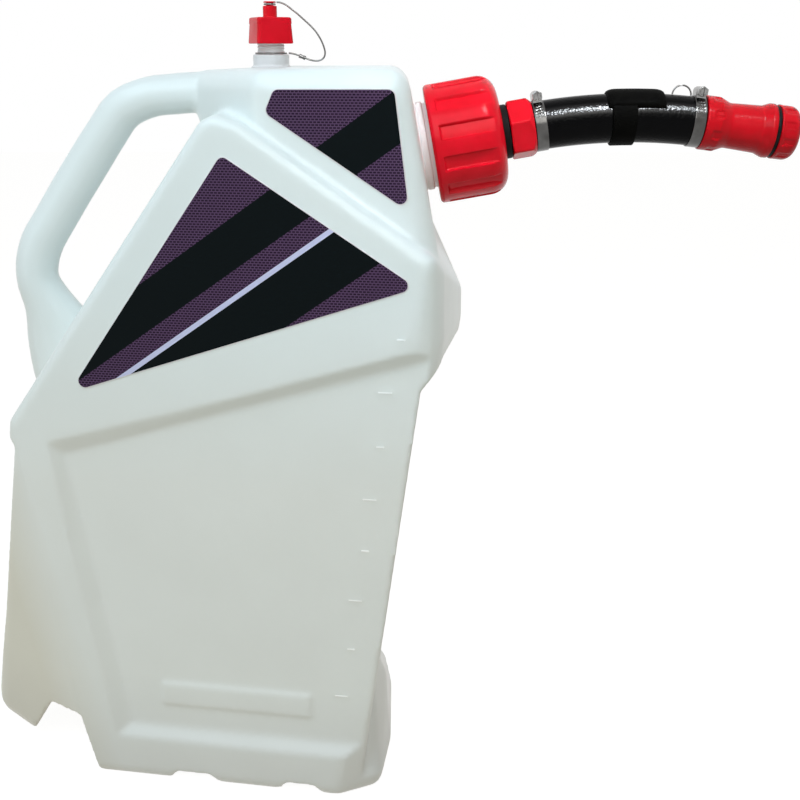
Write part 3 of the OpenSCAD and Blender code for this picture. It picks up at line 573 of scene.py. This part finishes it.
def labelPrint(kind):
    low, high = labels[kind]["span"]
    material, tree, shader = newMaterial(kind + "Print", Specular_IOR_Level=0.06)
    place = addNode(tree, "ShaderNodeUVMap", uv_map="print")
    weave = addNode(tree, "ShaderNodeTexBrick", {
        "Vector": place.outputs["UV"], "Scale": 1.0, "Mortar Size": 0.00042, "Mortar Smooth": 0.5,
        "Brick Width": 0.0027, "Row Height": 0.0018, "Color1": (0.016, 0.008, 0.020, 1),
        "Color2": (0.024, 0.011, 0.028, 1), "Mortar": (0.100, 0.057, 0.122, 1)})
    turn = addNode(tree, "ShaderNodeMapping", {"Vector": place.outputs["UV"],
                                               "Rotation": (0, 0, math.radians(labels["slant"]))})
    line = addNode(tree, "ShaderNodeSeparateXYZ", {"Vector": turn.outputs["Vector"]})
    spread = addNode(tree, "ShaderNodeMapRange", {"Value": line.outputs["Y"], "From Min": low * mm,
                                                  "From Max": high * mm})
    bars = addNode(tree, "ShaderNodeValToRGB", {"Fac": spread.outputs["Result"]})
    bars.color_ramp.interpolation = "CONSTANT"
    marks = bars.color_ramp.elements
    for i, (position, tone) in enumerate(labels[kind]["bars"]):
        mark = marks[i] if i < 2 else marks.new(position)
        mark.position, mark.color = position, barTones[tone]
    split = addNode(tree, "ShaderNodeSeparateColor", {"Color": bars.outputs["Color"]})
    dark = addNode(tree, "ShaderNodeMix", {0: split.outputs["Red"], 6: weave.outputs["Color"],
                                           7: (0.0012, 0.0035, 0.0042, 1)}, data_type="RGBA")
    pale = addNode(tree, "ShaderNodeMix", {0: split.outputs["Green"], 6: dark.outputs[2],
                                           7: (0.58, 0.61, 0.84, 1)}, data_type="RGBA")
    tree.links.new(pale.outputs[2], shader.inputs["Base Color"])
    roughBetween(tree, shader, noiseOf(tree, 300), 0.38, 0.5)
    bumpFrom(tree, shader, weave.outputs["Fac"], 0.15, 0.0002)
    return material


# an outline with round corners, drawn in by a length
def roundOutline(corners, radius, drawIn, steps=8):
    flat = [Vector(c) for c in corners]
    count = len(flat)
    outline = []
    for i, here in enumerate(flat):
        back, ahead = here - flat[i - 1], flat[(i + 1) % count] - here
        normals = [Vector((-d.y, d.x)).normalized() for d in (back, ahead)]   # left of a clockwise outline
        half = normals[0].angle(normals[1]) / 2
        centre = here - (normals[0] + normals[1]).normalized() * radius / math.cos(half)
        sweep = math.atan2(normals[0].x * normals[1].y - normals[0].y * normals[1].x,
                           normals[0].dot(normals[1]))
        for k in range(steps + 1):
            spun = Matrix.Rotation(sweep * k / steps, 2) @ normals[0]
            outline.append(centre + spun * (radius - drawIn))
    return outline


def sideLabel(name, kind, mirror, material, node):
    look = labels[kind]
    corners = [(x / math.cos(side["angle"]), z) for x, z in look["corners"]]
    levels = [(0, 0), (0, labels["thick"] - labels["lip"]), (labels["lip"], labels["thick"]),
              (labels["edge"], labels["thick"])]
    place = sideMatrix(0, 0, -look["inset"] * math.cos(side["angle"]), mirror)
    rings = [[(p, place @ (Vector((p.x, -out, p.y)) * mm))
              for p in roundOutline(corners, labels["round"], drawIn)] for drawIn, out in levels]
    count = len(rings[0])
    verts = [spot for ring in rings for _, spot in ring]
    flat = [p for ring in rings for p, _ in ring]
    faces = [(j * count + i, j * count + (i + 1) % count,
              (j + 1) * count + (i + 1) % count, (j + 1) * count + i)
             for j in range(len(rings) - 1) for i in range(count)]
    faces.append(tuple(range(count)))
    faces.append(tuple((len(rings) - 1) * count + i for i in range(count)))
    mesh = bpy.data.meshes.new(name)
    mesh.from_pydata(verts, [], faces)
    mesh.materials.append(film)
    mesh.materials.append(material)
    mesh.polygons[len(faces) - 1].material_index = 1
    layer = mesh.uv_layers.new(name="print")
    for loop in mesh.loops:
        layer.data[loop.index].uv = flat[loop.vertex_index] * mm
    grid = bmesh.new()
    grid.from_mesh(mesh)
    bmesh.ops.recalc_face_normals(grid, faces=grid.faces)
    grid.to_mesh(mesh)
    grid.free()
    return addPiece(name, mesh, "can", [node], 50)


film = labelFilm()
largePrint, smallPrint = labelPrint("large"), labelPrint("small")
for mirror, hand in ((False, "left"), (True, "right")):
    sideLabel("largeLabel." + hand, "large", mirror, largePrint, "large_label_" + hand)
    sideLabel("smallLabel." + hand, "small", mirror, smallPrint, "small_label_" + hand)
print("labels made")

# screw cap on the neck, with finger pockets
cap = {"outer": 44, "bore": 33.18, "back": 9, "inside": 57, "front": 62, "hole": 13.1, "frontRound": 14,
       "pockets": 12, "phase": 0.54, "pocketDepth": 2.5, "pocketShare": 0.46, "pocketFrom": 16,
       "soft": 0.06, "pocketSteps": 44}
capEdge = filleted([(cap["bore"], cap["back"], 0.8), (cap["outer"], cap["back"], 3),
                    (cap["outer"], cap["front"], cap["frontRound"]), (cap["hole"], cap["front"], 0.4),
                    (cap["hole"], cap["inside"], 0.3), (cap["bore"], cap["inside"], 0.6)], 10)


def pocketed(angle, r, z):
    over = r - (cap["outer"] - cap["pocketDepth"])
    if over <= 0:
        return r
    turn = angle / tau * cap["pockets"] - cap["phase"]
    offset = abs(turn - round(turn)) * 2
    edge = cap["pocketShare"]
    width = 1 - smoothStep(edge - cap["soft"], edge + cap["soft"], offset)
    return r - over * width * smoothStep(cap["pocketFrom"] - 0.7, cap["pocketFrom"] + 0.7, z)


makePiece("screwCap", turned(dense(capEdge, 0.7), cap["pockets"] * cap["pocketSteps"], onNeck, pocketed),
          "cap", red, ["screw_cap"], 50)

seal = {"outer": 20, "bore": 13.1, "back": 62, "front": 68, "round": 1.6}
sealEdge = filleted([(seal["bore"], seal["back"], 0.3), (seal["outer"], seal["back"], 0.6),
                     (seal["outer"], seal["front"], seal["round"]), (seal["bore"], seal["front"], 0.3)])
makePiece("fittingSeal", turned(sealEdge, 96, onNeck), "cap", sealBlack, ["fitting_seal"])

# hose fitting: hexagon with a bevelled front, and its hidden shank and barb
fitting = {"shank": 13, "shankFrom": 47.5, "hexFrom": 68, "hexTo": 86, "flats": 39.5, "blank": 24,
           "corner": 1.135, "hexTurn": math.radians(13), "bevelRadius": 19.25, "bore": 9.5, "barbs": 3,
           "barbTo": 104, "barb": 12.5, "barbRoot": 11.3}
barbStep = (fitting["barbTo"] - fitting["hexTo"]) / fitting["barbs"]
barbEdge = []
for i in range(fitting["barbs"]):
    start = fitting["hexTo"] + i * barbStep
    barbEdge += [(fitting["barb"], start + 0.3, 0.2), (fitting["barbRoot"], start + barbStep, 0.1)]
fittingEdge = filleted([(fitting["bore"], fitting["shankFrom"], 0.4),
                        (fitting["shank"], fitting["shankFrom"], 0.5),
                        (fitting["shank"], fitting["hexFrom"], 0),
                        (fitting["blank"], fitting["hexFrom"], 0.8), (fitting["blank"], fitting["hexTo"], 0),
                        (fitting["barbRoot"], fitting["hexTo"], 0)]
                       + barbEdge + [(fitting["bore"], fitting["barbTo"], 0.3)])


def hexed(angle, r, z):
    if r <= fitting["shank"] or z > fitting["hexTo"]:
        return r
    turn = math.fmod(angle - fitting["hexTurn"] + tau, tau / 6) - tau / 12
    flat = fitting["flats"] / 2 / math.cos(turn)
    corner = fitting["flats"] / 2 * fitting["corner"]
    bevel = fitting["bevelRadius"] + (fitting["hexTo"] - z)
    rear = fitting["flats"] / 2 + 1.2 + (z - fitting["hexFrom"]) * 1.5
    limit = min(flat, corner, bevel, rear)
    return r * limit / fitting["blank"] if r > fitting["blank"] - 1 else min(r, limit)


makePiece("hoseFitting", turned(dense(fittingEdge, 0.8), 192, onNeck, hexed), "cap", red,
          ["hose_fitting"], 30)

# hose
hose = {"outer": 18, "bore": 12.7}
hoseEdge = filleted([(hose["bore"], 0, 0.6), (hose["outer"], 0, 1.2), (hose["outer"], hoseLength, 1.2),
                     (hose["bore"], hoseLength, 0.6)])
makePiece("hose", turned(dense(hoseEdge, 2.5), 96, onHose), "cap", hoseBlack, ["hose"])
print("cap, fitting and hose made")

# two worm clamps
clamp = {"gap": 0.6, "bandIn": 18.1, "bandOut": 18.9, "bandHalf": 4.25, "slots": 44, "slotHalf": 2.6,
         "slotDeep": 0.28, "worm": 22.0, "houseLength": 15, "houseHalf": 3.58, "bore": 2.58, "shaft": 2.5,
         "threadDeep": 0.45, "threadPitch": 1.6, "headBlank": 4.2, "headFlats": 7, "headCorner": 1.12,
         "headLength": 4.5, "slotWide": 1.0, "slotCut": 1.4, "tip": 1}
bandEdge = filleted([(clamp["bandIn"], -clamp["bandHalf"], 0.15),
                     (clamp["bandOut"], -clamp["bandHalf"], 0.35),
                     (clamp["bandOut"], clamp["bandHalf"], 0.35),
                     (clamp["bandIn"], clamp["bandHalf"], 0.15)], 3)


def slotted(angle, r, z):
    if r < clamp["bandOut"] - 0.01 or abs(angle - math.pi) > 1.1:
        return r
    turn = angle / tau * clamp["slots"] + z * 0.05
    share = abs(turn - round(turn)) * 2
    return r - clamp["slotDeep"] * (1 - smoothStep(0.32, 0.48, share)) * (
        1 - smoothStep(clamp["slotHalf"] - 0.4, clamp["slotHalf"], abs(z)))


def houseShape(place):
    steps, sections = 40, 9
    verts, faces = [], []
    for part in ("outside", "bore"):
        for s in range(sections):
            y = clamp["houseLength"] * (s / (sections - 1) - 0.5)
            pull = 0.5 * max(0, abs(y) - clamp["houseLength"] / 2 + 0.5) / 0.5
            foot = -math.sqrt((clamp["bandOut"] + 0.03) ** 2 - y * y)
            for k in range(steps):
                angle = tau * k / steps
                out, across = math.cos(angle), math.sin(angle)
                wide = clamp["houseHalf"] - pull * 0.5
                if part == "bore":
                    spot = (-clamp["worm"] - clamp["bore"] * out, clamp["bore"] * across)
                elif out >= 0:
                    spot = (-clamp["worm"] - wide * out, wide * across)
                else:
                    square = max(abs(out), abs(across))
                    drop = -out / square
                    spot = (-clamp["worm"] + (foot + clamp["worm"]) * drop, wide * across / square)
                verts.append(place(spot[0], y, spot[1]))
    ring = steps * sections
    for base in (0, ring):
        for s in range(sections - 1):
            for k in range(steps):
                n = (k + 1) % steps
                a, b = base + s * steps, base + (s + 1) * steps
                faces.append((a + k, a + n, b + n, b + k))
    for s in (0, sections - 1):
        for k in range(steps):
            n = (k + 1) % steps
            a, b = s * steps, ring + s * steps
            faces.append((a + k, a + n, b + n, b + k))
    return verts, faces


def wormShape(place):
    length, head = clamp["houseLength"], clamp["headLength"]
    top = length + 0.1 + head
    blank, corner = clamp["headBlank"], clamp["headFlats"] / 2 * clamp["headCorner"]
    edge = filleted([(0, -clamp["tip"], 0), (clamp["shaft"], -clamp["tip"], 0.5),
                     (clamp["shaft"], length + 0.1, 0), (blank, length + 0.1, 0),
                     (blank, top, 0.5), (0, top, 0)])

    def formed(angle, r, z):
        if z > length + 0.05:
            turn = math.fmod(angle, tau / 6) - tau / 12
            flat = clamp["headFlats"] / 2 / math.cos(turn)
            return r / blank * min(flat, corner) if r > clamp["shaft"] else r
        if r < clamp["shaft"] - 0.05:
            return r
        return r - clamp["threadDeep"] * (0.5 + 0.5 * math.cos(tau * z / clamp["threadPitch"] - angle))

    def placeSlotted(x, y, z):   # driver slot across the head
        inSlot = z > top - 0.02 and abs(y) < clamp["slotWide"] / 2
        return place(x, y, z - clamp["slotCut"] if inSlot else z)

    return turned(dense(edge, 0.2, False), 144, placeSlotted, formed, False)


clampAt = {"rear": clamp["gap"] + clamp["bandHalf"], "front": hoseLength - clamp["gap"] - clamp["bandHalf"]}
for end, at in clampAt.items():
    matrix = hoseFrame(at)
    place = placer(matrix)
    makePiece(end + "ClampBand", turned(dense(bandEdge, 0.5), 360, place, slotted), "cap", steel,
              [end + "_clamp_band"])
    makePiece(end + "ClampHousing", houseShape(place), "cap", screwSteel,
              [end + "_clamp_housing"], 40)
    wormFrame = (matrix @ Matrix.Translation(Vector((-clamp["worm"], clamp["houseLength"] / 2, 0)) * mm)
                 @ Matrix.Rotation(math.pi / 2, 4, "X"))
    makePiece(end + "ClampScrew", wormShape(placer(wormFrame)), end + "_screw", screwSteel,
              [end + "_clamp_screw"], 30)

# wire eye on the hose behind the front clamp
eye = {"radius": 7, "wire": 1.25, "seat": 0.1}
eyeAt = clampAt["front"] - clamp["bandHalf"] - eye["radius"] - eye["wire"]
eyePlace = placer(hoseFrame(eyeAt))
eyeLine = [eyePlace(-hose["outer"] - eye["seat"] - eye["radius"] * math.sin(math.pi * k / 24), 0,
                    -eye["radius"] * math.cos(math.pi * k / 24)) for k in range(25)]
makePiece("lanyardEye", tube(eyeLine, eye["wire"] / 2 * mm, 12), "cap", wireSteel, ["lanyard_eye"])
print("clamps made")

# clip on the hose: a saddle on top and a strap round it
clip = {"at": 54, "length": 42, "inner": 18.1, "height": 3.2, "rimHeight": 0.15, "low": 9.5, "endSlope": 7,
        "sideSlope": 0.22, "strapFrom": 57, "strapTo": 75, "strap": 2}


def saddleShape():
    half = math.acos(clip["low"] / (clip["inner"] + clip["height"]))
    rows, columns = 40, 36
    verts, faces = [], []
    for level in (0, 1):
        for i in range(rows + 1):
            z = clip["at"] + clip["length"] * i / rows
            fromEnd = min(i, rows - i) / rows * clip["length"]
            ends = math.sqrt(1 - (1 - min(fromEnd / clip["endSlope"], 1)) ** 2)
            for j in range(columns + 1):
                angle = math.pi + half * (2 * j / columns - 1)
                fromSide = half * (1 - abs(2 * j / columns - 1))
                edges = math.sqrt(1 - (1 - min(fromSide / clip["sideSlope"], 1)) ** 2)
                rise = clip["rimHeight"] + (clip["height"] - clip["rimHeight"]) * ends * edges
                r = clip["inner"] + level * rise
                verts.append(onHose(r * math.cos(angle), r * math.sin(angle), z))
    wide, sheet = columns + 1, (rows + 1) * (columns + 1)
    for level in (0, 1):
        for i in range(rows):
            for j in range(columns):
                a = level * sheet + i * wide + j
                faces.append((a, a + 1, a + wide + 1, a + wide))
    rim = (list(range(columns)) + [i * wide + columns for i in range(rows)]
           + [rows * wide + columns - j for j in range(columns)] + [(rows - i) * wide for i in range(rows)])
    for a, b in zip(rim, rim[1:] + rim[:1]):
        faces.append((a, b, b + sheet, a + sheet))
    return verts, faces


strapOut = clip["inner"] + clip["strap"]
strapEdge = filleted([(clip["inner"], clip["strapFrom"], 0.2), (strapOut, clip["strapFrom"], 0.9),
                      (strapOut, clip["strapTo"], 0.9), (clip["inner"], clip["strapTo"], 0.2)])
makePiece("hoseClip", joined(saddleShape(), turned(dense(strapEdge, 2), 96, onHose)), "cap", clipBlack,
          ["hose_clip"], 50)

# nozzle with a ribbed collar, its ring and its cap
nozzle = {"collar": 20, "collarTo": 11, "waist": 16.5, "waistFrom": 19, "mouth": 17.6, "waistTo": 43,
          "rim": 20, "rimFrom": 49, "rimTo": 52.5, "spigot": 14, "spigotTo": 64.5, "bore": 9.5,
          "barbFrom": -18, "barb": 12.5, "barbRoot": 11.3, "ribs": 8, "ribShare": 0.4, "ribDeep": 0.8,
          "ribFrom": 6}
nozzleEdge = filleted([(nozzle["bore"], nozzle["barbFrom"], 0.3),
                       (nozzle["barbRoot"], nozzle["barbFrom"], 0.2), (nozzle["barb"], -12.2, 0.2),
                       (nozzle["barbRoot"], -12, 0.1), (nozzle["barb"], -6.2, 0.2),
                       (nozzle["barbRoot"], -6, 0.1), (nozzle["barb"], -0.2, 0.1), (nozzle["barb"], 0, 0),
                       (nozzle["collar"], 0, 1), (nozzle["collar"], nozzle["collarTo"], 3),
                       (nozzle["waist"], nozzle["waistFrom"], 8), (nozzle["mouth"], nozzle["waistTo"], 6),
                       (nozzle["rim"], nozzle["rimFrom"], 4), (nozzle["rim"], nozzle["rimTo"], 0.5),
                       (nozzle["spigot"], nozzle["rimTo"], 0), (nozzle["spigot"], nozzle["spigotTo"], 0.8),
                       (nozzle["bore"], nozzle["spigotTo"], 0.4)], 5)


def ribbed(angle, r, z):
    floor = nozzle["collar"] - nozzle["ribDeep"]
    if r < floor or z > nozzle["waistFrom"] or z < 0:
        return r
    turn = angle / tau * nozzle["ribs"] - 0.5
    share = abs(turn - round(turn)) * 2
    width = 1 - smoothStep(nozzle["ribShare"] - 0.08, nozzle["ribShare"] + 0.08, share)
    return r - (r - floor) * width * smoothStep(nozzle["ribFrom"] - 0.5, nozzle["ribFrom"] + 0.5, z)


makePiece("nozzle", turned(dense(nozzleEdge, 0.8), 192, onNozzle, ribbed), "cap", nozzleShadedRed,
          ["nozzle"], 45)

ring = {"inner": 14.4, "outer": 19, "back": 52.5, "front": 55.5}
ringEdge = filleted([(ring["inner"], ring["back"], 0.3), (ring["outer"], ring["back"], 0.6),
                     (ring["outer"], ring["front"], 0.6), (ring["inner"], ring["front"], 0.3)])
makePiece("nozzleRing", turned(ringEdge, 96, onNozzle), "nozzle_slider", sealBlack,
          ["nozzle_ring"])

nozzleCap = {"outer": 20, "foot": 55.5, "end": 71.5, "round": 8, "bore": 14.08, "boreTo": 64.9,
             "grooves": 10, "share": 0.4, "deep": 0.8, "from": 58}
nozzleCapEdge = filleted([(0, nozzleCap["end"], 0),
                          (nozzleCap["outer"], nozzleCap["end"], nozzleCap["round"]),
                          (nozzleCap["outer"], nozzleCap["foot"], 0.6),
                          (nozzleCap["bore"], nozzleCap["foot"], 0.4),
                          (nozzleCap["bore"], nozzleCap["boreTo"], 0.5), (0, nozzleCap["boreTo"], 0)], 8)


def grooved(angle, r, z):
    floor = nozzleCap["outer"] - nozzleCap["deep"]
    if r < floor:
        return r
    turn = angle / tau * nozzleCap["grooves"]
    share = abs(turn - round(turn)) * 2
    width = 1 - smoothStep(nozzleCap["share"] - 0.08, nozzleCap["share"] + 0.08, share)
    return r - (r - floor) * width * smoothStep(nozzleCap["from"] - 0.5, nozzleCap["from"] + 0.5, z)


makePiece("nozzleCap", turned(dense(nozzleCapEdge, 0.8, False), 200, onNozzle, grooved, False),
          "nozzle_end", nozzleShadedRed, ["nozzle_cap"], 45)
print("clip and nozzle made")

# vent cap, a tapered square cup with a nub for the tether's loop
vent = {"half": 13.75, "corner": 3, "foot": 16.5, "top": 35, "taper": 0.94, "turn": math.radians(23),
        "bore": 10.08, "boreTo": 30.5, "nub": 5.15, "nubTo": 43, "neck": 2.65, "neckTo": 45.05, "lip": 4.525,
        "lipTo": 46.05}
ventEdge = filleted([(0, vent["lipTo"], 0), (vent["lip"], vent["lipTo"], 0.4),
                     (vent["lip"], vent["neckTo"], 0.2), (vent["neck"], vent["neckTo"], 0.2),
                     (vent["neck"], vent["nubTo"], 0.2), (vent["nub"], vent["nubTo"], 0.7),
                     (vent["nub"], vent["top"], 0.4), (vent["half"] * vent["taper"], vent["top"], 1.2),
                     (vent["half"], vent["foot"], 0.7), (vent["bore"], vent["foot"], 0.4),
                     (vent["bore"], vent["boreTo"], 0.5), (0, vent["boreTo"], 0)], 5)


def squared(angle, r, z):
    inBore = r <= vent["bore"] + 0.3 and z < vent["boreTo"] + 0.1
    if r <= vent["nub"] + 0.5 or inBore or z > vent["top"] + 0.1:
        return r
    turn = abs(math.fmod(angle - vent["turn"] + tau, tau / 4) - tau / 8)
    turn = tau / 8 - turn
    half, corner = vent["half"], vent["corner"]
    middle = half - corner
    if half * math.tan(turn) <= middle:
        shape = half / math.cos(turn)
    else:
        reachIn = middle * (math.cos(turn) + math.sin(turn))
        shape = reachIn + math.sqrt(reachIn ** 2 - 2 * middle ** 2 + corner ** 2)
    low = vent["bore"] if z < vent["boreTo"] + 0.1 else vent["nub"]
    share = (r - low) / (half - low)
    return low + (shape - low) * share


makePiece("ventCap", turned(dense(ventEdge, 0.6, False), 160, onVent, squared, False), "vent_knob", red,
          ["vent_cap"], 40)
print("vent cap made")

# pieces that stay as the frame has them, inside the object
hidden = {"neck_gasket": sealBlack, "vent_seal": sealBlack,
          "fitting_washer": steel, "fitting_locknut": steel}
for node, material in hidden.items():
    holder = frame["nodes"][node]
    holder.data.materials.clear()
    holder.data.materials.append(material)

# pale floor, white surroundings and soft lamps
studio = {"floor": 6.0, "ambient": (0.30, 0.29, 0.27)}
lamps = [   # name, place, target, size, watts, tone and spread in degrees
    ("keyLamp", (-0.25, -0.8, 1.25), (0.0, 0.0, 0.45), (0.7, 0.7), 5.0, (0.70, 0.88, 1.0), 180),
    ("frontLamp", (0.35, -1.8, 1.5), (0.1, 0.0, 0.3), (0.9, 0.9), 9.0, (1.0, 0.99, 0.95), 180),
    ("leftLamp", (-0.6, -0.3, 1.6), (0.0, 0.0, 0.4), (0.5, 0.5), 3.0, (0.72, 0.88, 1.0), 180),
    ("sideLamp", (-1.6, -1.0, 0.7), (0.0, 0.0, 0.3), (1.2, 1.2), 4.4, (0.92, 0.97, 1.0), 180),
    ("hoseLamp", (0.49, -0.56, 1.32), (0.35, 0.0, 0.53), (0.34, 0.17), 0.36, (0.90, 0.95, 1.0), 32),
]


def seenDirectly(tree):
    path = addNode(tree, "ShaderNodeLightPath")
    first = addNode(tree, "ShaderNodeMath",
                    {0: path.outputs["Is Camera Ray"], 1: path.outputs["Is Glossy Ray"]},
                    operation="MAXIMUM")
    both = addNode(tree, "ShaderNodeMath", {0: first.outputs[0], 1: path.outputs["Is Transmission Ray"]},
                   operation="MAXIMUM")
    return both.outputs[0]


world = bpy.data.worlds.new("studio")
scene.world = world
world.use_nodes = True
worldTree = world.node_tree
around = addNode(worldTree, "ShaderNodeMix", {0: seenDirectly(worldTree), 6: (*studio["ambient"], 1),
                                              7: (1, 1, 1, 1)}, data_type="RGBA")
worldTree.links.new(around.outputs[2], worldTree.nodes["Background"].inputs["Color"])

floorMesh = bpy.data.meshes.new("floor")
reach = studio["floor"]
floorMesh.from_pydata([(-reach, -reach, 0), (reach, -reach, 0), (reach, reach, 0), (-reach, reach, 0)], [],
                      [(0, 1, 2, 3)])
floor = bpy.data.objects.new("floor", floorMesh)
scene.collection.objects.link(floor)
floorPaint = bpy.data.materials.new("paleFloor")
floorPaint.use_nodes = True
floorTree = floorPaint.node_tree
floorTree.nodes.clear()
matte = addNode(floorTree, "ShaderNodeBsdfDiffuse", {"Color": (0.66, 0.60, 0.50, 1)})
dim = addNode(floorTree, "ShaderNodeBsdfDiffuse", {"Color": (0.25, 0.25, 0.25, 1)})
glow = addNode(floorTree, "ShaderNodeEmission", {"Color": (1, 1, 1, 1), "Strength": 0.92})
bright = addNode(floorTree, "ShaderNodeAddShader", {0: dim.outputs[0], 1: glow.outputs[0]})
choice = addNode(floorTree, "ShaderNodeMixShader",
                 {0: seenDirectly(floorTree), 1: matte.outputs[0], 2: bright.outputs[0]})
addNode(floorTree, "ShaderNodeOutputMaterial", {"Surface": choice.outputs[0]})
floorMesh.materials.append(floorPaint)

for name, place, target, size, energy, tone, spread in lamps:
    data = bpy.data.lights.new(name, "AREA")
    data.shape, data.energy, data.color = "RECTANGLE", energy, tone
    data.size, data.size_y = size
    data.spread = math.radians(spread)
    lamp = bpy.data.objects.new(name, data)
    lamp.location = place
    lamp.rotation_euler = (Vector(target) - Vector(place)).to_track_quat("-Z", "Y").to_euler()
    scene.collection.objects.link(lamp)
print("studio made")
